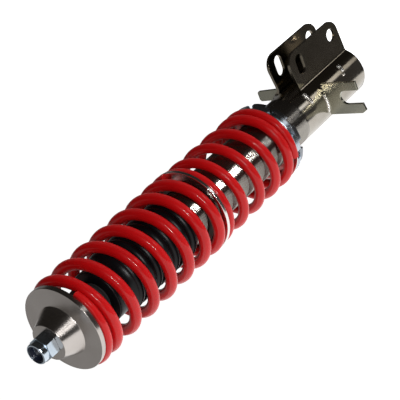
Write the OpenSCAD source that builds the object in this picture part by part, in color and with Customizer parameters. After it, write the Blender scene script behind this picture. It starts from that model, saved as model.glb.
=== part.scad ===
// Coilover suspension strut with a main and a helper spring.
// +Z runs along the strut towards the top nut. The origin is the centre of the lower knuckle bolt,
// midway between the two knuckle plates. The strut's own axis stands beside it, at x = -bolt_x.

/* [Strut tube] */
// Outside diameter of the strut tube, which is also the thread's major diameter
tube_d = 54; // [50:1:56]
// Wall thickness of the strut tube
tube_wall = 2.8; // [2:0.1:3.5]
// Height of the tube's upper end above the lower knuckle bolt
tube_top = 296; // [290:1:300]
// Depth of the tube's lower end below the lower knuckle bolt
tube_drop = 20.7; // [18:0.1:24]
// Height at which the outside thread ends
thread_end = 95; // [90:1:100]

/* [Knuckle plates] */
// Distance from the strut axis to the knuckle bolts
bolt_x = 51; // [50:0.5:54]
// Clear gap between the two knuckle plates
knuckle_gap = 24; // [22:0.5:28]
// Sheet thickness of the knuckle plates
sheet = 3; // [3:0.5:4]
// Diameter of the lower knuckle bolt hole
bolt_d = 13.5; // [10.5:0.5:14.5]
// Height of the camber slot above the lower bolt
slot_z = 61.5; // [56:0.5:62]
// Overall length of the camber slot, measured away from the tube
slot_len = 22; // [16:1:24]
// Width of the camber slot
slot_w = 12.6; // [10.5:0.1:13.5]

/* [Springs] */
// Outside diameter of the main spring
main_d = 90; // [86:1:92]
// Wire diameter of the main spring
main_wire = 11; // [9:0.5:11.5]
// Pitch of the main spring's open coils
main_pitch = 27.175; // [27.1:0.025:27.25]
// Outside diameter of the helper spring
helper_d = 88; // [84:0.2:88]
// Wire diameter of the helper spring
helper_wire = 10; // [8:0.5:10]
// Pitch of the helper spring's open coils
helper_pitch = 28; // [27.5:0.1:28.2]

/* [Perch and collars] */
// Height of the helper spring's seat, on top of the slip ring
perch_z = 143.5; // [143:0.5:150]
// Outside diameter of the adjuster collar
collar_d = 84; // [80:1:86]
// Thickness of the adjuster collar
collar_t = 7.5; // [6:0.5:10]
// Thickness of the lock ring
lock_t = 6; // [5:0.5:8]
// Number of spanner notches round each collar
notches = 10; // [6:1:12]

/* [Top end] */
// Diameter of the upper spring plate
plate_d = 85; // [82:1:88]
// Height of the face that the main spring's upper end bears on
plate_z = 455.6; // [455:0.1:456]
// Height of the flat top of the plate's hub
hub_top = 480.4; // [478:0.1:482]
// Diameter of the damper rod
rod_d = 20; // [18:0.5:22]
// Diameter of the rod's threaded stud
stud_d = 14; // [12:1:14]
// Travel from full extension until the bump stop is touched
free_travel = 75; // [60:1:75]

/* [Hidden] */
$fn = 96;

// Press and seat clearance between parts of one body, and running clearance at the rod and collars
seat_gap = 0.05;
run_gap = 0.05;
tube_r = tube_d / 2;
bore_r = tube_r - tube_wall;
rod_r = rod_d / 2;
stud_r = stud_d / 2;

// Knuckle plates: a flange wraps round the tube, bends outwards and becomes a flat ear
wrap_r = tube_r + sheet;
bend_r = 4;
ear_in = knuckle_gap / 2;
ear_out = ear_in + sheet;
bend_y = ear_out + bend_r;
bend_x = sqrt(pow(wrap_r + bend_r, 2) - pow(bend_y, 2));
bend_angle = atan2(bend_y, bend_x);
wrap_edge = 62;
ear_round = 14;
ear_x = bolt_x + 14.2;
ear_front = 79;
ear_rear = -14;
wrap_front = 75.5;
wrap_rear = -16;
join = 1;

// Bracket plates that stand square to the tube
plate_t = 3;
hose_z = 52;
notch_w = 15;
notch_x = 4.7;
notch_y = 52;

// Stack at the collars, from the helper spring down
slip_t = 1.2;
face_gap = 0.2;
collar_top = perch_z - slip_t - face_gap;
collar_low = collar_top - collar_t;
lock_top = collar_low - face_gap;
lock_d = collar_d - 3;

// Springs: height of each end face, turns, closed pitch and angle of the upper end's tip
main_r = (main_d - main_wire) / 2;
main_low = 271;
main_turns = 7.853;
main_tip = -38;
main_closed = 9.8;
main_last = 9;
main_lift = 3.4;
helper_r = (helper_d - helper_wire) / 2;
coupler_t = 3.5;
helper_top = main_low - coupler_t;
helper_turns = 5.39;
helper_tip = 33;
helper_closed = 9;
helper_last = 10.1;
steps = 24;
sides = 10;

// Damper internals, from the bottom
tube_r_in = 16;
pressure_r = 18;
cap_top = -13;
valve_flange = 5;
valve_h = 15;
guide_low = 262;
guide_ledge = 272;
seal_low = 280;
gland_low = 286;
stop_h = 10;
piston_low = 232;
piston_h = 14;
shim_h = 3;
rod_shoulder = piston_low + piston_h + shim_h;
shank_r = 5;
piston_nut_h = 8;

// Upper end
rim_t = 5.1;
washer_t = 3;
nut_af = 22;
nut_hex_h = 11;
nut_h = 17.6;
gland_top = tube_top + 4;
boss_r = 20.5;
wiper_t = 5;
boot_r = 31.4;
boot_cap_r = 26.8;
boot_top = 414;
boot_low = tube_top + 0.5;
boot_wall = 1.3;
boot_folds = 10;
stop_r = 20;
stop_low = gland_top + free_travel;
stop_top = plate_z - washer_t - 0.3;
neck_r = 16;

// Every part is drawn about the strut axis and moved to its place here
module at_strut() {
    translate([-bolt_x, 0, 0]) children();
}

module ring(r_out, r_in, z0, z1) {
    rotate_extrude() translate([r_in, z0]) square([r_out - r_in, z1 - z0]);
}

function smooth(x) = let (c = min(1, max(0, x))) c * c * (3 - 2 * c);

// ---------- strut tube and what is welded to it ----------

module strut_tube() {
    lip = 1.2;
    color("silver") at_strut() rotate_extrude() polygon([
        [bore_r, -tube_drop], [tube_r - lip, -tube_drop], [tube_r, -tube_drop + lip],
        [tube_r, tube_top - lip], [tube_r - lip, tube_top], [bore_r, tube_top]]);
}

module tube_end_cap() {
    r = bore_r - seat_gap;
    color("dimgray") at_strut() rotate_extrude() polygon([
        [0, -tube_drop + 3.2], [r - 6, -tube_drop + 3.2], [r - 3.5, -tube_drop + 0.4],
        [r - 1, -tube_drop + 0.4], [r, -tube_drop + 1.4], [r, cap_top - 0.6], [r - 0.6, cap_top],
        [0, cap_top]]);
}

// Quarter-plane wedge from angle a0 to a1, used to cut arcs out of rings
module wedge(a0, a1, r) {
    mid = (a0 + a1) / 2;
    polygon([[0, 0], [r * cos(a0), r * sin(a0)], [1.2 * r * cos(mid), 1.2 * r * sin(mid)],
        [r * cos(a1), r * sin(a1)]]);
}

// Sheet outline seen along the strut: flange round the tube, bend, and flat ear
module plate_section() {
    intersection() {
        difference() { circle(wrap_r); circle(tube_r + seat_gap); }
        wedge(bend_angle, wrap_edge, 2 * wrap_r);
    }
    translate([bend_x, bend_y]) intersection() {
        difference() { circle(bend_r + sheet - seat_gap); circle(bend_r); }
        wedge(180 + bend_angle - join, 270, 4 * bend_r);
    }
    translate([bend_x - 0.05, ear_in + seat_gap]) square([ear_x - bend_x + 0.05, sheet - seat_gap]);
}

// Ear outline seen from the side: two round corners, and a front edge that falls towards the tube
module ear_side() {
    x = ear_x - ear_round;
    low = ear_rear + ear_round;
    high = ear_front - ear_round;
    slope = 98;
    translate([x, low]) circle(ear_round);
    translate([x, high]) circle(ear_round);
    polygon([[ear_x, low], [ear_x, high], [x, high],
        [x + ear_round * cos(slope), high + ear_round * sin(slope)],
        [bend_x, wrap_front], [0, wrap_front], [0, wrap_rear], [bend_x, wrap_rear], [x, ear_rear], [x, low]]);
}

module camber_slot() {
    half = (slot_len - slot_w) / 2;
    x = bolt_x - 2;
    translate([x - half, slot_z - slot_w / 2]) square([2 * half, slot_w]);
    for (side = [-1, 1]) translate([x + side * half, slot_z]) circle(slot_w / 2);
}

module knuckle_plate() {
    difference() {
        intersection() {
            translate([0, 0, -30]) linear_extrude(120) plate_section();
            translate([0, 2 * bolt_x, 0]) rotate([90, 0, 0]) linear_extrude(2 * bolt_x) ear_side();
        }
        translate([0, ear_out + 5, 0]) rotate([90, 0, 0]) linear_extrude(sheet + 10) camber_slot();
        translate([bolt_x, ear_out + 5, 0]) rotate([90, 0, 0]) cylinder(h = sheet + 10, d = bolt_d);
    }
}

module knuckle_plate_left() {
    color("darkgray") at_strut() knuckle_plate();
}

module knuckle_plate_right() {
    color("darkgray") at_strut() mirror([0, 1, 0]) knuckle_plate();
}

// Weld in the corner between the tube and the end of a plate; up is 1 above the plate, -1 below it
module corner_bead(z, up, size, a0, a1) {
    r = tube_r + seat_gap;
    rotate([0, 0, a0]) rotate_extrude(angle = a1 - a0) polygon([
        [r, z], [r + size, z], [r + 0.85 * size, z + up * 0.45 * size],
        [r + 0.45 * size, z + up * 0.85 * size], [r, z + up * size]]);
}

// Weld that lies on a round face
module face_bead(r, z, a0, a1) {
    half = 2.4;
    rise = 1.8;
    rotate([0, 0, a0]) rotate_extrude(angle = a1 - a0) polygon([
        [r, z - half], [r + 0.8 * rise, z - 0.6 * half], [r + rise, z],
        [r + 0.8 * rise, z + 0.6 * half], [r, z + half]]);
}

module bracket_welds() {
    color("gray") at_strut() for (side = [0, 1]) mirror([0, side, 0]) {
        corner_bead(wrap_front + seat_gap, 1, 3, 36, 66);
        corner_bead(wrap_rear - seat_gap, -1, 2.4, 36, 62);
        face_bead(wrap_r + seat_gap, 13, 42, 60);
        face_bead(tube_r + seat_gap, 13, wrap_edge + 0.3, 69);
        corner_bead(hose_z + plate_t + seat_gap, 1, 2.6, 67, side == 0 ? 84 : 112);
    }
}

// Plate that stands square to the tube, notched where the knuckle plate's flange passes
module tube_notch() {
    circle(tube_r + seat_gap);
    intersection() {
        circle(wrap_r + seat_gap);
        wedge(-wrap_edge - 2, wrap_edge + 2, 2 * wrap_r);
    }
}

module hose_bracket() {
    far = 71;
    color("lightgray") at_strut() translate([0, 0, hose_z]) linear_extrude(plate_t) difference() {
        polygon([[-14, -26], [22, -26], [22, -68], [notch_x + notch_w / 2, -68],
            [notch_x + notch_w / 2, -notch_y], [notch_x - notch_w / 2, -notch_y],
            [notch_x - notch_w / 2, -far + 1.5], [-11, -far], [-14, -far + 5]]);
        translate([notch_x, -notch_y]) circle(notch_w / 2);
        tube_notch();
    }
}

module sensor_tab() {
    color("lightgray") at_strut() translate([0, 0, hose_z]) linear_extrude(plate_t) difference() {
        polygon([[6, 24], [19, 24], [17, 58], [15.5, 60], [7, 60], [5, 58]]);
        tube_notch();
    }
}

// ---------- damper internals ----------

module pressure_tube() {
    color("silver") at_strut() ring(pressure_r, tube_r_in, cap_top + valve_flange, guide_ledge);
}

module base_valve() {
    low = cap_top;
    color("gray") at_strut() difference() {
        rotate_extrude() polygon([
            [4 + seat_gap, low + 2], [12, low + 2], [14, low], [20, low], [20, low + valve_flange],
            [tube_r_in - seat_gap, low + valve_flange], [tube_r_in - seat_gap, low + valve_h],
            [4 + seat_gap, low + valve_h]]);
        for (i = [0:5]) rotate([0, 0, 60 * i]) translate([8.5, 0, low - 1]) cylinder(h = valve_h + 2, d = 3.4);
        for (i = [0:3]) rotate([0, 0, 90 * i]) translate([12, -3, low - 1]) cube([10, 6, 3]);
    }
}

module base_valve_shims() {
    low = cap_top + valve_h;
    color("silver") at_strut() {
        ring(12, 4 + seat_gap, low, low + 0.6);
        ring(9, 4 + seat_gap, low + 0.6, low + 1.2);
    }
}

module base_valve_bolt() {
    low = cap_top;
    color("dimgray") at_strut() rotate_extrude() polygon([
        [0, low + 0.4], [3, low + 0.4], [4, low + 1.4], [4, low + valve_h + 1.2], [6.5, low + valve_h + 1.2],
        [6.5, low + valve_h + 3.4], [5.5, low + valve_h + 4.4], [0, low + valve_h + 4.4]]);
}

module rod_guide() {
    r = bore_r - seat_gap;
    bush_r = rod_r + 1.5;
    color("gray") at_strut() rotate_extrude() polygon([
        [bush_r + seat_gap, guide_low], [tube_r_in - seat_gap, guide_low],
        [tube_r_in - seat_gap, guide_ledge], [r, guide_ledge], [r, seal_low],
        [bush_r + seat_gap, seal_low]]);
}

module guide_bush() {
    color("goldenrod") at_strut() ring(rod_r + 1.5, rod_r + run_gap, guide_low + 1, seal_low - 1);
}

module rod_seal() {
    color("black") at_strut() ring(bore_r - seat_gap, rod_r + run_gap, seal_low, gland_low);
}

module gland_nut() {
    wiper_r = rod_r + 5 + seat_gap;
    color("silver") at_strut() difference() {
        rotate_extrude() polygon([
            [rod_r + 1, gland_low], [bore_r - seat_gap, gland_low], [bore_r - seat_gap, tube_top - 0.6],
            [bore_r - 0.8, tube_top], [boss_r - 1.5, tube_top], [boss_r - 1.5, gland_top - 1.2],
            [boss_r, gland_top - 1.2], [boss_r - 0.6, gland_top], [wiper_r, gland_top],
            [wiper_r, gland_top - wiper_t], [rod_r + 1, gland_top - wiper_t]]);
        for (i = [0:3]) rotate([0, 0, 90 * i + 45]) translate([bore_r - 2.3, 0, tube_top - 4])
            cylinder(h = 6, d = 2.6);
    }
}

module rod_wiper() {
    color("black") at_strut() rotate_extrude() polygon([
        [rod_r + 0.1, gland_top - wiper_t], [rod_r + 5, gland_top - wiper_t], [rod_r + 5, gland_top - 1],
        [rod_r + 4, gland_top], [rod_r + 2, gland_top], [rod_r + 0.1, gland_top - 1.5]]);
}

module piston_rod() {
    lead = 1.2;
    top = hub_top + nut_h - 5;
    color("gainsboro") at_strut() rotate_extrude() polygon([
        [0, piston_low - shim_h - piston_nut_h - 2], [shank_r - 0.8, piston_low - shim_h - piston_nut_h - 2],
        [shank_r, piston_low - shim_h - piston_nut_h - 1.2], [shank_r, rod_shoulder], [rod_r, rod_shoulder],
        [rod_r, plate_z - washer_t], [stud_r, plate_z - washer_t], [stud_r, top - lead], [stud_r - lead, top],
        [0, top]]);
}

module piston() {
    hole_r = shank_r + seat_gap;
    r = tube_r_in - 0.5;
    top = piston_low + piston_h;
    color("gray") at_strut() difference() {
        rotate_extrude() polygon([
            [hole_r, piston_low], [r, piston_low], [r, piston_low + 3], [r - 1.6, piston_low + 3],
            [r - 1.6, top - 3], [r, top - 3], [r, top], [hole_r, top]]);
        for (i = [0:5]) rotate([0, 0, 60 * i]) translate([9.5, 0, piston_low - 1])
            cylinder(h = piston_h + 2, d = 3.6);
    }
}

module piston_band() {
    groove = 3.1;
    color("black") at_strut()
        ring(tube_r_in - run_gap, tube_r_in - 2, piston_low + groove, piston_low + piston_h - groove);
}

// Stack of thin spring discs, each smaller than the one below it
module shims(z0, r0, up) {
    t = shim_h / 3;
    for (i = [0:2]) {
        z = up ? z0 + i * t : z0 - (i + 1) * t;
        ring(r0 - 2 * i, shank_r + seat_gap, z, z + t);
    }
}

module compression_shims() {
    color("silver") at_strut() shims(piston_low + piston_h, 12.5, true);
}

module rebound_shims() {
    color("silver") at_strut() shims(piston_low, 12.5, false);
}

module piston_nut() {
    color("silver") at_strut() translate([0, 0, piston_low - shim_h - piston_nut_h]) difference() {
        cylinder(h = piston_nut_h, d = 17 / cos(30), $fn = 6);
        translate([0, 0, -1]) cylinder(h = piston_nut_h + 2, r = shank_r + seat_gap);
    }
}

module rebound_stop() {
    color("black") at_strut() rotate_extrude() polygon([
        [rod_r + seat_gap, guide_low - stop_h], [12, guide_low - stop_h], [13.5, guide_low - stop_h + 2],
        [13.5, guide_low - 2], [12, guide_low], [rod_r + seat_gap, guide_low]]);
}

// ---------- perch, collars and springs ----------

// Collar with square notches round its rim for a hook spanner
module notched_collar(d, z0, t, turn) {
    depth = 4.5;
    width = 9;
    lip = 0.8;
    difference() {
        rotate_extrude() polygon([
            [tube_r + run_gap, z0], [d / 2 - lip, z0], [d / 2, z0 + lip], [d / 2, z0 + t - lip],
            [d / 2 - lip, z0 + t], [tube_r + run_gap, z0 + t]]);
        for (i = [0:notches - 1]) rotate([0, 0, turn + i * 360 / notches])
            translate([d / 2 - depth, -width / 2, z0 - 1]) cube([2 * depth, width, t + 2]);
    }
}

module lock_ring() {
    color("slategray") at_strut() notched_collar(lock_d, lock_top - lock_t, lock_t, 10);
}

module adjuster_collar() {
    color("lightsteelblue") at_strut() notched_collar(collar_d, collar_low, collar_t, 0);
}

module slip_ring() {
    color("whitesmoke") at_strut() ring(helper_r + 3.5, tube_r + 0.4, perch_z - slip_t, perch_z);
}

// Pitch of a coil, t turns below the upper end: closed, open, and closing again at the lower end
function pitch_at(t, turns, open, first, last, rise, fall) =
    t < turns / 2 ? first + (open - first) * smooth((t - rise[0]) / (rise[1] - rise[0]))
                  : open + (last - open) * smooth((t - fall[0]) / (fall[1] - fall[0]));

// Running sum of a list
function sums(v, i = 0, acc = 0, out = []) =
    i == len(v) ? concat(out, [acc]) : sums(v, i + 1, acc + v[i], concat(out, [acc]));

// How far a coil is pushed up where it rides over the lower end's tip, t turns above that tip
function ride_over(t) = smooth((t - 0.6) / 0.45) * (1 - smooth((t - 1.05) / 0.75));

// Right-handed round-wire spring with both end faces ground flat, drawn from its upper end down
module coil(r, wire, turns, tip, z_top, z_low, open, first, last, rise, fall, start, lift) {
    n = round(turns * steps);
    dt = turns / n;
    drop = sums([for (i = [0:n - 1]) dt * pitch_at((i + 0.5) * dt, turns, open, first, last, rise, fall)]);
    sink = start - drop[n] - (z_low + 0.1 * wire);
    points = [for (i = [0:n]) let (a = tip - 360 * i * dt,
            z = start - drop[i] - sink * i / n + lift * ride_over((n - i) * dt))
        for (j = [0:sides - 1]) let (b = 360 * j / sides, q = r + wire / 2 * cos(b))
            [q * cos(a), q * sin(a), min(z_top, max(z_low, z + wire / 2 * sin(b)))]];
    walls = [for (i = [0:n - 1]) for (j = [0:sides - 1]) let (k = (j + 1) % sides)
        [i * sides + j, i * sides + k, (i + 1) * sides + k, (i + 1) * sides + j]];
    ends = [[for (j = [0:sides - 1]) sides - 1 - j], [for (j = [0:sides - 1]) n * sides + j]];
    polyhedron(points, concat(walls, ends), convexity = 12);
}

module helper_spring() {
    color("red") at_strut() coil(helper_r, helper_wire, helper_turns, helper_tip, helper_top, perch_z,
        helper_pitch, helper_closed, helper_last, [0.35, 0.8], [3.95, 4.4], helper_top - 3.1, 0);
}

// Ring between the two springs, with a sleeve that centres both of them
module spring_coupler() {
    sleeve_r = 32.6;
    sleeve_in = tube_r + 0.5;
    reach = 6;
    flange_r = 44.8;
    lip = 0.8;
    color("white") at_strut() rotate_extrude() polygon([
        [sleeve_in, helper_top - reach], [sleeve_r - lip, helper_top - reach],
        [sleeve_r, helper_top - reach + lip],
        [sleeve_r, helper_top], [flange_r - lip, helper_top], [flange_r, helper_top + lip],
        [flange_r, main_low - lip], [flange_r - lip, main_low], [sleeve_r, main_low],
        [sleeve_r, main_low + reach - lip], [sleeve_r - lip, main_low + reach],
        [sleeve_in, main_low + reach]]);
}

module main_spring() {
    color("red") at_strut() coil(main_r, main_wire, main_turns, main_tip, plate_z, main_low,
        main_pitch, main_closed, main_last, [0.747, 1.147], [6.73, 7.23], plate_z - 2.4, main_lift);
}

// ---------- top end ----------

module upper_spring_plate() {
    rim_r = plate_d / 2;
    hub_base_r = 25.2;
    hub_top_r = 17.9;
    hub_base = plate_z + rim_t + 1.5;
    spigot_r = 31.5;
    spigot_h = 6;
    lip = 0.6;
    color("silver") at_strut() rotate_extrude() polygon([
        [stud_r + seat_gap, plate_z], [spigot_r - 5, plate_z], [spigot_r - 5, plate_z - spigot_h],
        [spigot_r - 1, plate_z - spigot_h], [spigot_r, plate_z - spigot_h + 1], [spigot_r, plate_z],
        [rim_r - lip, plate_z], [rim_r, plate_z + lip], [rim_r, plate_z + rim_t - lip],
        [rim_r - lip, plate_z + rim_t], [hub_base_r, hub_base], [hub_top_r + 0.5, hub_top - 0.6],
        [hub_top_r, hub_top], [stud_r + seat_gap, hub_top]]);
}

module plate_washer() {
    color("silver") at_strut() ring(17, stud_r + seat_gap, plate_z - washer_t, plate_z);
}

module top_nut() {
    collar_r = 10.3;
    thread_r = stud_r + seat_gap;
    insert_r = 8.6;
    corner_r = nut_af / 2 / cos(30);
    flat_cut = nut_af / 2 + 0.3;
    color("lightblue") at_strut() translate([0, 0, hub_top]) difference() {
        union() {
            intersection() {
                cylinder(h = nut_hex_h, r = corner_r, $fn = 6);
                rotate_extrude() polygon([
                    [0, 0], [flat_cut, 0], [corner_r, 0.8], [corner_r, nut_hex_h - 0.8],
                    [flat_cut, nut_hex_h], [0, nut_hex_h]]);
            }
            rotate_extrude() polygon([
                [0, nut_hex_h - 1], [collar_r, nut_hex_h - 1], [collar_r, nut_h - 1.4],
                [collar_r - 0.5, nut_h - 0.4], [collar_r - 1.4, nut_h], [0, nut_h]]);
        }
        translate([0, 0, -1]) cylinder(h = nut_h + 2, r = thread_r);
        translate([0, 0, nut_hex_h + 1]) cylinder(h = nut_h, r = insert_r);
    }
}

module nut_insert() {
    low = hub_top + nut_hex_h + 1;
    color("navy") at_strut() ring(8.6 - seat_gap, stud_r + seat_gap, low, hub_top + nut_h - 1.2);
}

// ---------- bump stop and boot ----------

module bump_stop() {
    bore = rod_r + 0.3;
    waist = stop_r - 3.5;
    groove_low = boot_top - 6;
    groove_top = boot_top + 1;
    color("black") at_strut() rotate_extrude() polygon([
        [bore, stop_low], [14, stop_low], [stop_r - 2, stop_low + 5], [stop_r - 1, stop_low + 12],
        [neck_r + 1, groove_low - 1], [neck_r, groove_low], [neck_r, groove_top], [neck_r + 1, groove_top + 1],
        [stop_r, groove_top + 6], [stop_r, groove_top + 14], [waist, groove_top + 18],
        [stop_r, groove_top + 22], [stop_r, stop_top - 6], [stop_r - 3, stop_top], [bore, stop_top]]);
}

// Bellows: a zigzag wall that starts on the tube's end, with a narrower cap that closes into the
// bump stop's groove
module dust_boot() {
    foot = boot_low + 3.5;
    head = boot_top - 24;
    fold = (head - foot) / boot_folds;
    valley = boot_r - 3;
    folds = [for (i = [0:boot_folds - 1]) each [[valley, foot + i * fold], [boot_r, foot + (i + 0.5) * fold]]];
    shell = concat(folds, [[valley, head], [boot_cap_r, head + 5], [boot_cap_r, boot_top - 2]]);
    inside = [for (i = [len(shell) - 1:-1:0]) [shell[i][0] - boot_wall, shell[i][1]]];
    top = [[boot_cap_r - 1.5, boot_top], [neck_r + 0.3, boot_top], [neck_r + 0.3, boot_top - 2]];
    bottom = [[valley - boot_wall, boot_low + 2], [boss_r - 1.2, boot_low + 2], [boss_r - 1.2, boot_low + 0.3],
        [valley, boot_low + 0.3]];
    color("black") at_strut() rotate_extrude() polygon(concat(shell, top, inside, bottom));
}

strut_tube();
tube_end_cap();
knuckle_plate_left();
knuckle_plate_right();
bracket_welds();
hose_bracket();
sensor_tab();
pressure_tube();
base_valve();
base_valve_shims();
base_valve_bolt();
rod_guide();
guide_bush();
rod_seal();
gland_nut();
rod_wiper();
lock_ring();
adjuster_collar();
slip_ring();
helper_spring();
spring_coupler();
main_spring();
upper_spring_plate();
plate_washer();
top_nut();
nut_insert();
piston_rod();
piston();
piston_band();
compression_shims();
rebound_shims();
piston_nut();
rebound_stop();
bump_stop();
dust_boot();
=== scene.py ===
import math

import bmesh
import bpy
from mathutils import Matrix, Vector


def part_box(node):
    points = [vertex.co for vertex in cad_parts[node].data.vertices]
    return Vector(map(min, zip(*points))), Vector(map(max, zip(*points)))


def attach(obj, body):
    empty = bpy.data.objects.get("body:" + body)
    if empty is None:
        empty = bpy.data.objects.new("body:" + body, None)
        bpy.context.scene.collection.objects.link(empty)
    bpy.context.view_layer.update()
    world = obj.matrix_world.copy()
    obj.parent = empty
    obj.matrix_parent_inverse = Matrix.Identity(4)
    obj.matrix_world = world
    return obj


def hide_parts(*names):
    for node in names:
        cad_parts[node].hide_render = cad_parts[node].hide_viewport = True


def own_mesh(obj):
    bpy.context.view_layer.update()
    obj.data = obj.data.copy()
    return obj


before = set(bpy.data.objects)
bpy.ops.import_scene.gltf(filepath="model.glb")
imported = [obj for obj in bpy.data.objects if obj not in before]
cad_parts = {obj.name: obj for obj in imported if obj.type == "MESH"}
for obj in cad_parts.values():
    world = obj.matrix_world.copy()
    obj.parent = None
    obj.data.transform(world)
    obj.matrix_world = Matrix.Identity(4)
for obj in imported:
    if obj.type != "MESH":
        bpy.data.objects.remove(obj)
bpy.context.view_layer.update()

MM = 0.001


# ---------- dimensions, in millimetres, partly read from the imported model and partly given ---


def box_mm(node):
    low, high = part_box(node)
    return [v / MM for v in low], [v / MM for v in high]


def z_span(node):
    low, high = box_mm(node)
    return low[2], high[2]


def radius(node):
    low, high = box_mm(node)
    return (high[1] - low[1]) / 2


TUBE_LOW, TUBE_HIGH = box_mm("strut_tube")
AXIS_X = (TUBE_LOW[0] + TUBE_HIGH[0]) / 2
TUBE_R = radius("strut_tube")
TUBE_WALL = 2.8
BORE_R = TUBE_R - TUBE_WALL
SHEET = 3.0
WRAP_R = TUBE_R + SHEET
WRAP_TOP = 75.5
WRAP_BOTTOM = -15.9
THREAD_END = 95.0
THREAD_PITCH = 1.5
THREAD_DEPTH = 0.55
SLEEVE_R = 32.6


# ---------- mesh helpers ----------


def make_object(name, verts, faces, material, body, node, smooth=35):
    """Mesh from millimetre points about the strut axis; it rides on a body and stands for a CAD node."""
    mesh = bpy.data.meshes.new(name)
    mesh.from_pydata([((x + AXIS_X) * MM, y * MM, z * MM) for x, y, z in verts], [], faces)
    obj = bpy.data.objects.new(name, mesh)
    bpy.context.scene.collection.objects.link(obj)
    bm = bmesh.new()
    bm.from_mesh(mesh)
    bmesh.ops.remove_doubles(bm, verts=bm.verts, dist=1e-7)
    bmesh.ops.recalc_face_normals(bm, faces=bm.faces)
    bm.to_mesh(mesh)
    bm.free()
    finish_piece(obj, material, body, node, smooth)
    return obj


def finish_piece(obj, material, body, node, smooth):
    obj.data.materials.clear()
    obj.data.materials.append(material)
    obj.data.shade_smooth()
    obj.data.set_sharp_from_angle(angle=math.radians(smooth))
    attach(obj, body)
    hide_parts(node)


def weighted_normals(mesh, limit):
    """Area-weighted corner normals, so that flat faces shade flat up to their rounded edges."""
    around = [[] for _ in mesh.vertices]
    for polygon in mesh.polygons:
        for vertex in polygon.vertices:
            around[vertex].append((polygon.normal, polygon.area))
    least = math.cos(math.radians(limit))
    normals = []
    for polygon in mesh.polygons:
        for vertex in polygon.vertices:
            total = Vector()
            for normal, area in around[vertex]:
                if normal.dot(polygon.normal) > least:
                    total += normal * area
            normals.append(total.normalized())
    mesh.normals_split_custom_set(normals)


def rounded(points, default=0.4, steps=4):
    """Closed outline with each corner turned into an arc; a third number on a point is its own radius."""
    out = []
    count = len(points)
    for i, point in enumerate(points):
        here = Vector(point[:2])
        before = Vector(points[i - 1][:2])
        after = Vector(points[(i + 1) % count][:2])
        size = point[2] if len(point) > 2 else default
        a, b = before - here, after - here
        angle = a.angle(b)
        if size <= 0 or angle > math.radians(172):
            out.append((here.x, here.y))
            continue
        cut = min(size / math.tan(angle / 2), 0.45 * a.length, 0.45 * b.length)
        start = here + a.normalized() * cut
        end = here + b.normalized() * cut
        for k in range(steps + 1):
            t = k / steps
            q = start * (1 - t) ** 2 + here * 2 * t * (1 - t) + end * t * t
            out.append((q.x, q.y))
    return out


def lathe(profile, segments=144):
    """Closed (r, z) outline turned about the strut axis."""
    verts, faces = [], []
    count = len(profile)
    for i in range(segments):
        angle = 2 * math.pi * i / segments
        c, s = math.cos(angle), math.sin(angle)
        verts += [(r * c, r * s, z) for r, z in profile]
    for i in range(segments):
        j = (i + 1) % segments
        for k in range(count):
            m = (k + 1) % count
            faces.append((i * count + k, j * count + k, j * count + m, i * count + m))
    return verts, faces


def grid_faces(rows, columns, closed_rows=False):
    """Quads between rings of points; the last ring also joins the first if closed_rows."""
    faces = []
    for i in range(rows if closed_rows else rows - 1):
        a, b = i, (i + 1) % rows
        for j in range(columns):
            k = (j + 1) % columns
            faces.append((a * columns + j, a * columns + k, b * columns + k, b * columns + j))
    return faces


def softened(name, node, material, body, width, smooth=50):
    """Copy of a CAD node with small round edges, width in millimetres."""
    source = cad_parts[node]
    mesh = source.data.copy()
    mesh.transform(source.matrix_world)
    obj = bpy.data.objects.new(name, mesh)
    bpy.context.scene.collection.objects.link(obj)
    bm = bmesh.new()
    bm.from_mesh(mesh)
    bmesh.ops.remove_doubles(bm, verts=bm.verts, dist=1e-6)
    bmesh.ops.dissolve_limit(
        bm, angle_limit=math.radians(0.4), use_dissolve_boundaries=False, verts=bm.verts, edges=bm.edges
    )
    least = math.radians(32)
    sharp = [e for e in bm.edges if len(e.link_faces) == 2 and e.calc_face_angle(0) > least]
    bmesh.ops.bevel(
        bm,
        geom=sharp,
        offset=width * MM,
        offset_type="OFFSET",
        segments=2,
        profile=0.5,
        affect="EDGES",
        clamp_overlap=True,
    )
    bmesh.ops.recalc_face_normals(bm, faces=bm.faces)
    bm.to_mesh(mesh)
    bm.free()
    finish_piece(obj, material, body, node, smooth)
    weighted_normals(mesh, smooth)


# ---------- materials ----------


def new_material(name):
    material = bpy.data.materials.new(name)
    material.use_nodes = True
    nodes = material.node_tree.nodes
    return material, nodes, material.node_tree.links, nodes["Principled BSDF"]


def texture(nodes, links, scale, detail=4.0, stretch=(1, 1, 1)):
    """Noise in object space, in cycles per metre."""
    coordinates = nodes.new("ShaderNodeTexCoord")
    mapping = nodes.new("ShaderNodeMapping")
    mapping.inputs["Scale"].default_value = stretch
    noise = nodes.new("ShaderNodeTexNoise")
    noise.inputs["Scale"].default_value = scale
    noise.inputs["Detail"].default_value = detail
    links.new(coordinates.outputs["Object"], mapping.inputs["Vector"])
    links.new(mapping.outputs["Vector"], noise.inputs["Vector"])
    return noise.outputs["Fac"]


def ramp(nodes, links, source, stops):
    node = nodes.new("ShaderNodeValToRGB")
    elements = node.color_ramp.elements
    while len(elements) < len(stops):
        elements.new(0.5)
    for element, (position, colour) in zip(elements, stops):
        element.position = position
        element.color = (*colour, 1)
    links.new(source, node.inputs["Fac"])
    return node.outputs["Color"]


def remap(nodes, links, source, low, high):
    node = nodes.new("ShaderNodeMapRange")
    node.inputs["To Min"].default_value = low
    node.inputs["To Max"].default_value = high
    links.new(source, node.inputs["Value"])
    return node.outputs["Result"]


def bump(nodes, links, source, distance, strength=1.0):
    node = nodes.new("ShaderNodeBump")
    node.inputs["Distance"].default_value = distance
    node.inputs["Strength"].default_value = strength
    links.new(source, node.inputs["Height"])
    return node.outputs["Normal"]


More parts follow.
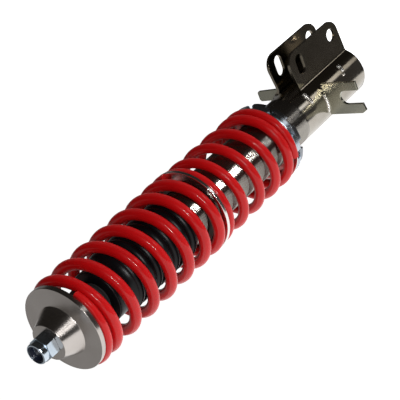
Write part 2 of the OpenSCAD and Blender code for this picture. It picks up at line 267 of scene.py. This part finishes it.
def metal(name, dark, light, rough, grain, bump_mm, stretch=(1, 1, 1), turned=0.0):
    """Bare or plated metal: two tones of plating, uneven polish, fine tool marks.

    bump_mm is the depth of the tool marks, and turned is the anisotropy of a lathe-cut surface.
    """
    material, nodes, links, shader = new_material(name)
    broad = texture(nodes, links, 28, 3)
    fine = texture(nodes, links, grain, 5, stretch)
    links.new(ramp(nodes, links, broad, [(0.3, dark), (0.7, light)]), shader.inputs["Base Color"])
    links.new(remap(nodes, links, fine, rough[0], rough[1]), shader.inputs["Roughness"])
    links.new(bump(nodes, links, fine, bump_mm * MM), shader.inputs["Normal"])
    shader.inputs["Metallic"].default_value = 1.0
    if turned:
        shader.inputs["Anisotropic"].default_value = turned
        tangent = nodes.new("ShaderNodeTangent")
        tangent.direction_type = "RADIAL"
        tangent.axis = "Z"
        shader.inputs["Anisotropic Rotation"].default_value = 0.25
        links.new(tangent.outputs["Tangent"], shader.inputs["Tangent"])
    return material


def paint(name, deep, bright):
    """Gloss powder coat with faint orange peel."""
    material, nodes, links, shader = new_material(name)
    tone = texture(nodes, links, 22, 2)
    peel = texture(nodes, links, 620, 2)
    links.new(ramp(nodes, links, tone, [(0.3, deep), (0.7, bright)]), shader.inputs["Base Color"])
    links.new(bump(nodes, links, peel, 0.02 * MM, 0.5), shader.inputs["Normal"])
    links.new(remap(nodes, links, peel, 0.30, 0.42), shader.inputs["Roughness"])
    shader.inputs["Coat Weight"].default_value = 0.45
    shader.inputs["Coat Roughness"].default_value = 0.045
    shader.inputs["Specular IOR Level"].default_value = 0.1
    return material


def soft_plastic(name, dark, light, rough, bump_mm=0.02, grain=500, shine=0.5):
    """Rubber, foam or plastic with a fine grain."""
    material, nodes, links, shader = new_material(name)
    tone = texture(nodes, links, 40, 3)
    fine = texture(nodes, links, grain, 4)
    links.new(ramp(nodes, links, tone, [(0.3, dark), (0.7, light)]), shader.inputs["Base Color"])
    links.new(remap(nodes, links, fine, rough[0], rough[1]), shader.inputs["Roughness"])
    links.new(bump(nodes, links, fine, bump_mm * MM), shader.inputs["Normal"])
    shader.inputs["Specular IOR Level"].default_value = shine
    return material


M_RED = paint("red_powder_coat", (0.40, 0.002, 0.003), (0.47, 0.004, 0.005))
M_TUBE = metal("tube_zinc", (0.32, 0.29, 0.24), (0.44, 0.41, 0.36), (0.14, 0.22), 700, 0.004, (1, 1, 0.15))
M_THREAD = metal("thread_zinc", (0.25, 0.235, 0.21), (0.35, 0.33, 0.30), (0.10, 0.18), 900, 0.004)
M_BRACKET = metal("bracket_zinc", (0.25, 0.22, 0.17), (0.34, 0.30, 0.24), (0.10, 0.18), 500, 0.006)
M_SMALL = metal("small_bracket_zinc", (0.30, 0.30, 0.24), (0.40, 0.39, 0.32), (0.18, 0.30), 500, 0.006)
# Weld beads: real rippled beads, but their metal is painted much brighter than the bracket steel they join, a
# painted highlight for their glints.
M_WELD_PAINTED_GLINT = metal("weld_bead_painted_glint", (0.62, 0.58, 0.52), (0.86, 0.84, 0.80), (0.16, 0.32), 600, 0.03)
M_PLATE = metal("turned_plate", (0.50, 0.46, 0.43), (0.58, 0.54, 0.51), (0.20, 0.30), 900, 0.004, turned=0.75)
M_COUPLER = metal("turned_ring", (0.74, 0.72, 0.70), (0.86, 0.84, 0.82), (0.16, 0.24), 900, 0.004)
# The coupler's sleeve is the same turned metal as its ring, painted very dark: painted shade, so it reads
# like the dim tube between the coils.
M_SLEEVE_PAINTED_SHADE = metal("sleeve_painted_shade", (0.12, 0.115, 0.105), (0.18, 0.17, 0.16), (0.30, 0.42), 900, 0.004)
M_COLLAR = metal("blue_zinc", (0.36, 0.40, 0.45), (0.50, 0.55, 0.61), (0.18, 0.30), 700, 0.01)
# The lock ring is the same zinc as the adjuster; its darker colour is painted shade for the dark reflections
# on it, not a black finish.
M_LOCK_PAINTED_SHADE = metal("black_zinc", (0.22, 0.23, 0.25), (0.34, 0.36, 0.39), (0.18, 0.30), 700, 0.01)
M_NUT = metal("nut_zinc", (0.52, 0.60, 0.68), (0.66, 0.74, 0.82), (0.14, 0.26), 800, 0.01)
M_ROD = metal("hard_chrome", (0.70, 0.70, 0.71), (0.76, 0.76, 0.77), (0.05, 0.09), 900, 0.001)
M_STEEL = metal("machined_steel", (0.46, 0.46, 0.47), (0.58, 0.58, 0.59), (0.22, 0.36), 900, 0.006)
M_SHIM = metal("spring_strip", (0.56, 0.56, 0.57), (0.66, 0.66, 0.67), (0.16, 0.24), 900, 0.004)
M_SINTER = metal("sintered_steel", (0.28, 0.28, 0.28), (0.42, 0.42, 0.42), (0.45, 0.65), 1500, 0.03)
M_BRONZE = metal("bush_bronze", (0.50, 0.33, 0.14), (0.64, 0.44, 0.20), (0.25, 0.38), 900, 0.006)
M_BOOT = soft_plastic("boot_rubber", (0.002, 0.002, 0.0025), (0.005, 0.005, 0.006), (0.26, 0.38), shine=0.2)
M_FOAM = soft_plastic("stop_foam", (0.02, 0.02, 0.02), (0.035, 0.035, 0.035), (0.6, 0.8), 0.08, 900)
M_SEAL = soft_plastic("seal_rubber", (0.012, 0.012, 0.012), (0.02, 0.02, 0.02), (0.4, 0.55))
M_BAND = soft_plastic("band_plastic", (0.03, 0.026, 0.02), (0.05, 0.045, 0.04), (0.4, 0.5))
# Nut insert: the blue tint of the nylon is real, but its darkness is painted shade from inside the nut.
M_INSERT_PAINTED_SHADE = soft_plastic("nut_insert", (0.006, 0.008, 0.016), (0.010, 0.013, 0.028), (0.35, 0.45), shine=0.3)


# ---------- springs ----------


def smooth_step(x):
    x = min(1.0, max(0.0, x))
    return x * x * (3 - 2 * x)


def pitch_at(t, turns, pitch, first, last, rise, fall):
    """Rise a turn at t turns from the upper end."""
    if t < turns / 2:
        return first + (pitch - first) * smooth_step((t - rise[0]) / (rise[1] - rise[0]))
    return pitch + (last - pitch) * smooth_step((t - fall[0]) / (fall[1] - fall[0]))


def ride_over(t):
    """How far a coil is pushed up where it rides over the lower end's tip, t turns above that tip."""
    return smooth_step((t - 0.6) / 0.45) * (1 - smooth_step((t - 1.05) / 0.75))


def coil(name, node, body, wire, turns, tip, pitch, first, last, rise, fall, drop, lift):
    """Right-handed round-wire spring with ground ends, from its upper end down.

    tip is the upper end's angle. The rise a turn goes from first to pitch over the turns in rise, and from
    pitch to last over those in fall. drop is the upper end's centre below the top, and lift is how far a coil
    rides over the lower end's tip.
    """
    steps, sides = 72, 28
    low, high = z_span(node)
    centre_r = radius(node) - wire / 2
    count = int(turns * steps)
    dt = turns / count
    heights = [high - drop]
    for i in range(count):
        heights.append(heights[-1] - dt * pitch_at((i + 0.5) * dt, turns, pitch, first, last, rise, fall))
    sink = heights[-1] - (low + 0.1 * wire)
    verts = []
    for i in range(count + 1):
        angle = math.radians(tip - 360 * i * dt)
        z = heights[i] - sink * i / count + lift * ride_over((count - i) * dt)
        for j in range(sides):
            b = 2 * math.pi * j / sides
            r = centre_r + wire / 2 * math.cos(b)
            height = min(high, max(low, z + wire / 2 * math.sin(b)))
            verts.append((r * math.cos(angle), r * math.sin(angle), height))
    faces = grid_faces(count + 1, sides)
    faces.append(tuple(range(sides - 1, -1, -1)))
    faces.append(tuple(count * sides + j for j in range(sides)))
    return make_object(name, verts, faces, M_RED, body, node, 50)


MAIN_LOW, MAIN_HIGH = z_span("main_spring")
HELPER_LOW, HELPER_HIGH = z_span("helper_spring")
main_spring = coil(
    "main_spring_wire",
    "main_spring",
    "coupler",
    wire=11,
    turns=7.853,
    tip=-38,
    pitch=27.175,
    first=9.8,
    last=9,
    rise=(0.747, 1.147),
    fall=(6.73, 7.23),
    drop=2.4,
    lift=3.4,
)
helper_spring = coil(
    "helper_spring_wire",
    "helper_spring",
    "perch",
    wire=10,
    turns=5.39,
    tip=33,
    pitch=28,
    first=9,
    last=10.1,
    rise=(0.35, 0.8),
    fall=(3.95, 4.4),
    drop=3.1,
    lift=0,
)


# ---------- strut tube and its thread ----------


def strut_tube():
    """Tube with a plain lower part and a rounded helical thread above it."""
    low, high = TUBE_LOW[2], TUBE_HIGH[2]
    per_pitch, columns = 6, 120
    verts, rows = [], []

    def ring(r, z):
        rows.append([(r, z)] * columns)

    for r, z in [(BORE_R, low), (TUBE_R - 0.9, low), (TUBE_R - 0.25, low + 0.3), (TUBE_R, low + 1.0)]:
        ring(r, z)
    for z in (0.0, 40.0, 80.0, THREAD_END - 4):
        ring(TUBE_R, z)
    start, end = THREAD_END - 1.5, high - 2.0
    count = int((end - start) / THREAD_PITCH * per_pitch)
    for i in range(count + 1):
        row = []
        for j in range(columns):
            z = start + (end - start) * i / count + THREAD_PITCH * (j / columns - 0.5)
            phase = (i % per_pitch) / per_pitch
            wave = (1 - math.cos(2 * math.pi * phase)) / 2
            fade = smooth_step((z - THREAD_END) / 3) * smooth_step((high - 1.2 - z) / 1.5)
            row.append((TUBE_R - THREAD_DEPTH * wave * fade, min(z, high - 0.8)))
        rows.append(row)
    for r, z in [(TUBE_R - 0.4, high - 0.4), (TUBE_R - 0.9, high), (BORE_R, high)]:
        ring(r, z)
    for row in rows:
        for j, (r, z) in enumerate(row):
            angle = 2 * math.pi * j / columns
            verts.append((r * math.cos(angle), r * math.sin(angle), z))
    faces = grid_faces(len(rows), columns, True)
    return verts, faces


verts, faces = strut_tube()
tube = make_object("threaded_strut_tube", verts, faces, M_TUBE, "strut", "strut_tube", 60)
tube.data.materials.append(M_THREAD)
for polygon in tube.data.polygons:
    centre = polygon.center
    if centre.z > (THREAD_END - 1) * MM and math.hypot(centre.x - AXIS_X * MM, centre.y) > (TUBE_R - 1) * MM:
        polygon.material_index = 1


# ---------- knuckle plates, hose bracket, tab and welds ----------

softened("left_knuckle_plate", "knuckle_plate_left", M_BRACKET, "strut", 0.6)
softened("right_knuckle_plate", "knuckle_plate_right", M_BRACKET, "strut", 0.6)
softened("hose_fork", "hose_bracket", M_SMALL, "strut", 0.4)
softened("cable_tab", "sensor_tab", M_SMALL, "strut", 0.4)


CORNER = 0.75


def bead(r0, z0, a0, a1, width, height, tilt, side, seed):
    """Weld bead laid along an arc: rippled, uneven, with tapered ends; tilt leans it into a corner."""
    ripple_length = 1.7
    length = math.radians(a1 - a0) * r0
    rows, columns = max(24, int(length * 5)), 13
    verts = []
    for i in range(rows + 1):
        t = i / rows
        taper = math.sqrt(max(0.02, 1 - abs(2 * t - 1) ** 5))
        wander = 0.16 * math.sin(9.0 * t + seed) + 0.10 * math.sin(23.0 * t + 2 * seed)
        for j in range(columns):
            b = math.pi * j / (columns - 1)
            phase = t * length / ripple_length + 0.22 * math.sin(b)
            ripple = 1 + 0.13 * math.sin(2 * math.pi * phase + seed)
            across = width / 2 * math.cos(b) * taper
            out = height * math.sin(b) * taper * ripple * (1 + wander) - 0.12
            angle = math.radians(side * (a0 + (a1 - a0) * t))
            r = r0 + out * math.cos(tilt) - across * math.sin(tilt)
            z = z0 + across * math.cos(tilt) + out * math.sin(tilt) + 0.5 * wander
            verts.append((r * math.cos(angle), r * math.sin(angle), z))
    faces = grid_faces(rows + 1, columns)
    faces.append(tuple(range(columns)))
    faces.append(tuple(rows * columns + j for j in range(columns)))
    return verts, faces


HOSE_TOP = z_span("hose_bracket")[1]
beads = []
for side in (1, -1):
    beads.append(bead(TUBE_R + 1.1, WRAP_TOP + 1.0, 36, 67, 4.6, 1.5, CORNER, side, 1.3 + side))
    beads.append(bead(TUBE_R + 1.0, WRAP_BOTTOM - 1.0, 37, 61, 3.2, 1.0, -CORNER, side, 2.1 + side))
    beads.append(bead(WRAP_R, 13, 42, 61, 5.0, 1.9, 0, side, 0.4 + side))
    beads.append(bead(TUBE_R + 0.1, 13, 62.5, 69.5, 4.6, 1.7, 0, side, 3.0 + side))
beads.append(bead(TUBE_R + 0.9, HOSE_TOP + 0.9, 67, 112, 3.6, 1.1, CORNER, -1, 0.7))
beads.append(bead(TUBE_R + 0.9, HOSE_TOP + 0.9, 67, 82, 3.6, 1.1, CORNER, 1, 1.9))
verts, faces = [], []
for bead_verts, bead_faces in beads:
    base = len(verts)
    verts += bead_verts
    faces += [tuple(base + k for k in face) for face in bead_faces]
# the beads take the brighter weld metal, whose extra brightness is a painted highlight
make_object("weld_beads", verts, faces, M_WELD_PAINTED_GLINT, "strut", "bracket_welds", 60)


# ---------- collars, slip ring and coupler ----------

softened("adjuster_ring", "adjuster_collar", M_COLLAR, "adjuster", 0.35)
# lock ring in the darker zinc, whose darkness is painted shade
softened("lock_ring_painted_shade", "lock_ring", M_LOCK_PAINTED_SHADE, "locker", 0.35)

low, high = z_span("slip_ring")
outer = radius("slip_ring")
inner = TUBE_R + 0.4
verts, faces = lathe(rounded([(inner, low), (outer, low), (outer, high), (inner, high)]))
washer = make_object("slip_washer", verts, faces, M_COUPLER, "perch", "slip_ring")
weighted_normals(washer.data, 35)

low, high = z_span("spring_coupler")
outer = radius("spring_coupler")
ring_low, ring_high = HELPER_HIGH, MAIN_LOW
inner = TUBE_R + 0.5
profile = [
    (inner, low),
    (SLEEVE_R, low, 0.8),
    (SLEEVE_R, ring_low, 0.5),
    (outer, ring_low, 0.9),
    (outer, ring_high, 0.9),
    (SLEEVE_R, ring_high, 0.5),
    (SLEEVE_R, high, 0.8),
    (inner, high),
]
verts, faces = lathe(rounded(profile, 0.3))
coupler = make_object(
    "spring_coupler_ring", verts, faces, M_COUPLER, "coupler", "spring_coupler"
)
weighted_normals(coupler.data, 35)
# sleeve faces take the very dark copy of the ring metal, which is painted shade
coupler.data.materials.append(M_SLEEVE_PAINTED_SHADE)
for polygon in coupler.data.polygons:
    if math.hypot(polygon.center.x - AXIS_X * MM, polygon.center.y) < (SLEEVE_R + 0.1) * MM:
        polygon.material_index = 1


# ---------- upper spring plate, nut, washer ----------

PLATE_LOW, PLATE_HIGH = z_span("upper_spring_plate")
RIM_LOW = z_span("plate_washer")[1]
RIM_TOP = RIM_LOW + 5.1
rim_r = radius("upper_spring_plate")
stud_hole, spigot_in, spigot_out = 7.1, 26.5, 31.5
cone_foot, cone_head = 25.2, 17.9
profile = [
    (stud_hole, RIM_LOW),
    (spigot_in, RIM_LOW, 0.3),
    (spigot_in, PLATE_LOW, 0.5),
    (spigot_out, PLATE_LOW, 1.0),
    (spigot_out, RIM_LOW, 0.3),
    (rim_r, RIM_LOW, 0.5),
    (rim_r, RIM_TOP, 0.7),
    (cone_foot, RIM_TOP + 1.5, 0.8),
    (cone_head, PLATE_HIGH, 0.8),
    (stud_hole, PLATE_HIGH, 0.3),
]
verts, faces = lathe(rounded(profile, 0.3), 192)
plate = make_object(
    "turned_spring_plate", verts, faces, M_PLATE, "rod", "upper_spring_plate", 30
)
weighted_normals(plate.data, 30)

softened("hex_lock_nut", "top_nut", M_NUT, "rod", 0.3)


# ---------- boot and bump stop ----------

BOOT_LOW, BOOT_HIGH = z_span("dust_boot")
boot_r, cap_r = radius("dust_boot"), 26.8
fold_depth, rubber, cap_rubber, cap_length = 3.0, 1.1, 1.3, 24
rod_hole, stop_neck = 19.4, 16.3
foot, head, folds, steps = BOOT_LOW + 3.2, BOOT_HIGH - cap_length, 10, 14
valley_r = boot_r - fold_depth
outside = []
for i in range(folds * steps + 1):
    t = i / steps
    wave = abs(math.sin(math.pi * t)) ** 0.7
    outside.append((valley_r + fold_depth * wave, foot + (head - foot) * t / folds))
shoulder_z = head + 5
shoulder = rounded(
    [(valley_r, head), (cap_r, shoulder_z, 3), (cap_r, BOOT_HIGH, 1.8), (stop_neck, BOOT_HIGH, 0.3)], 0
)
lid_z, lid_r = BOOT_HIGH - 2, cap_r - cap_rubber
lid = [(stop_neck, lid_z), (lid_r, lid_z), (lid_r, shoulder_z)]
inside = [(r - rubber, z) for r, z in reversed(outside)]
bottom_r, bottom_z, bottom_top = valley_r - cap_rubber, BOOT_LOW + 0.1, BOOT_LOW + 2
bottom = [(bottom_r, bottom_top), (rod_hole, bottom_top), (rod_hole, bottom_z), (valley_r, bottom_z)]
verts, faces = lathe(outside + shoulder[1:] + lid + inside + bottom, 128)
boot = make_object("bellows_boot", verts, faces, M_BOOT, "strut", "dust_boot", 50)

STOP_LOW, STOP_HIGH = z_span("bump_stop")
groove_low, groove_high = BOOT_HIGH - 6, BOOT_HIGH + 1
stop_bore, neck, groove_edge, stop_r = 10.3, 16, 17, 20
profile = [
    (stop_bore, STOP_LOW),
    (14, STOP_LOW, 2),
    (18, STOP_LOW + 5, 3),
    (19, STOP_LOW + 12, 5),
    (groove_edge, groove_low - 1, 0.8),
    (neck, groove_low, 0.8),
    (neck, groove_high, 0.8),
    (groove_edge, groove_high + 1, 0.8),
    (stop_r, groove_high + 6, 2.5),
    (stop_r, groove_high + 14, 2.5),
    (16.5, groove_high + 18, 3),
    (stop_r, groove_high + 22, 3),
    (stop_r, STOP_HIGH - 6, 3),
    (groove_edge, STOP_HIGH, 0.6),
    (stop_bore, STOP_HIGH),
]
verts, faces = lathe(rounded(profile, 0.4, 6), 96)
bump_stop = make_object("foam_bump_stop", verts, faces, M_FOAM, "rod", "bump_stop", 50)


# ---------- springs, boot and bump stop get meshes of their own ---


def squash_to(obj):
    """Gives a piece a mesh of its own."""
    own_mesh(obj)


squash_to(main_spring)
squash_to(helper_spring)
squash_to(boot)
squash_to(bump_stop)


# ---------- CAD nodes that stay, mostly inside ----------

KEPT = {
    "tube_end_cap": M_TUBE,
    "pressure_tube": M_STEEL,
    "base_valve": M_SINTER,
    "base_valve_shims": M_SHIM,
    "base_valve_bolt": M_STEEL,
    "rod_guide": M_SINTER,
    "guide_bush": M_BRONZE,
    "rod_seal": M_SEAL,
    "gland_nut": M_STEEL,
    "rod_wiper": M_SEAL,
    "plate_washer": M_STEEL,
    # the insert's near-black blue is partly painted shade
    "nut_insert": M_INSERT_PAINTED_SHADE,
    "piston_rod": M_ROD,
    "piston": M_SINTER,
    "piston_band": M_BAND,
    "compression_shims": M_SHIM,
    "rebound_shims": M_SHIM,
    "piston_nut": M_STEEL,
    "rebound_stop": M_SEAL,
}
for node, material in KEPT.items():
    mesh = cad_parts[node].data
    mesh.materials.clear()
    mesh.materials.append(material)


# ---------- camera ----------

TOWARDS = Vector((0.3972, -0.6595, 0.6380)).normalized()
ABOVE = TOWARDS.cross(Vector((-0.3397, -0.7515, -0.5650))).normalized()
RIGHT = ABOVE.cross(TOWARDS).normalized()
CAMERA_AT = Vector((AXIS_X + 538.9, -891.1, 1113.0)) * MM

camera = bpy.data.objects.new("camera", bpy.data.cameras.new("camera"))
bpy.context.scene.collection.objects.link(camera)
camera.data.lens = 127.35
camera.data.sensor_width = 36
camera.data.clip_end = 30
camera.matrix_world = Matrix.Translation(CAMERA_AT) @ Matrix((RIGHT, ABOVE, TOWARDS)).transposed().to_4x4()
bpy.context.scene.camera = camera


# ---------- floor and light ----------

CENTRE = Vector((AXIS_X, 0, 240)) * MM


def floor_material(name):
    material, _, _, shader = new_material(name)
    shader.inputs["Base Color"].default_value = (0.9, 0.9, 0.9, 1)
    shader.inputs["Roughness"].default_value = 0.8
    shader.inputs["Emission Color"].default_value = (1, 1, 1, 1)
    shader.inputs["Emission Strength"].default_value = 1.0
    return material


def stage_plane(name, size, z, material):
    """Square floor, in metres, kept out of reflections."""
    mesh = bpy.data.meshes.new(name)
    corners = [(-size, -size, z), (size, -size, z), (size, size, z), (-size, size, z)]
    mesh.from_pydata(corners, [], [(0, 1, 2, 3)])
    obj = bpy.data.objects.new(name, mesh)
    bpy.context.scene.collection.objects.link(obj)
    mesh.materials.append(material)
    obj.visible_glossy = False


stage_plane("pale_floor", 12, -0.9, floor_material("pale_floor_paint"))

world = bpy.data.worlds.new("studio")
bpy.context.scene.world = world
world.use_nodes = True
nodes, links = world.node_tree.nodes, world.node_tree.links
room = nodes["Background"]
room.inputs["Color"].default_value = (0.022, 0.020, 0.018, 1)
room.inputs["Strength"].default_value = 1.0
sky = nodes.new("ShaderNodeBackground")
sky.inputs["Color"].default_value = (1, 1, 1, 1)
path = nodes.new("ShaderNodeLightPath")
mix = nodes.new("ShaderNodeMixShader")
links.new(path.outputs["Is Camera Ray"], mix.inputs["Fac"])
links.new(room.outputs["Background"], mix.inputs[1])
links.new(sky.outputs["Background"], mix.inputs[2])
links.new(mix.outputs["Shader"], nodes["World Output"].inputs["Surface"])


def panel(name, direction, distance, size, radiance, along=(1, 0), shift=(0, 0), shine=True):
    """Soft box, in metres; its direction is given as the photographer sees it (right, up, towards).

    along is the long side's direction (right, up), and shift moves the box along its sides.
    """
    right, above, towards = direction
    z = (RIGHT * right + ABOVE * above + TOWARDS * towards).normalized()
    x = RIGHT * along[0] + ABOVE * along[1]
    y = z.cross(x).normalized()
    x = y.cross(z)
    light = bpy.data.lights.new(name, "AREA")
    light.shape = "RECTANGLE"
    light.size, light.size_y = size
    light.energy = math.pi * size[0] * size[1] * radiance
    obj = bpy.data.objects.new(name, light)
    bpy.context.scene.collection.objects.link(obj)
    place = CENTRE + z * distance + x * shift[0] + y * shift[1]
    obj.matrix_world = Matrix.Translation(place) @ Matrix((x, y, z)).transposed().to_4x4()
    obj.visible_camera = False
    obj.visible_glossy = shine


# A white table below, darker on the left; a dim backdrop and side wall; two narrow lamps beside the camera;
# one lamp to the upper right; a fill that doesn't show in reflections
DOWN = (0.05, -0.95, -0.32)
BESIDE_CAMERA = (0.05, 0.05, 1.0)
ACROSS = (-0.68, 0.73)
panel("table_right", DOWN, 0.2, (2.7, 3.0), 1.15, (1, 0), (1.25, 0))
panel("table_left", DOWN, 0.2, (1.9, 3.0), 0.32, (1, 0), (-1.05, 0))
panel("backdrop", (-0.2, 0.35, -0.9), 1.5, (2.0, 1.0), 0.16)
panel("side_wall", (1.0, 0.45, -0.2), 2.4, (3.0, 1.6), 0.05)
panel("lamp_long", BESIDE_CAMERA, 1.7, (0.36, 0.07), 90, ACROSS, (-0.22, 0))
panel("lamp_short", BESIDE_CAMERA, 1.7, (0.22, 0.07), 90, ACROSS, (0.13, 0))
panel("lamp_far", (0.70, 0.69, 0.19), 2.0, (0.34, 0.9), 1.8, ACROSS)
panel("soft_fill", (0.25, -0.10, 1.0), 2.2, (1.6, 1.6), 0.7, shine=False)

scene = bpy.context.scene
scene.view_settings.view_transform = "Standard"
scene.view_settings.look = "None"
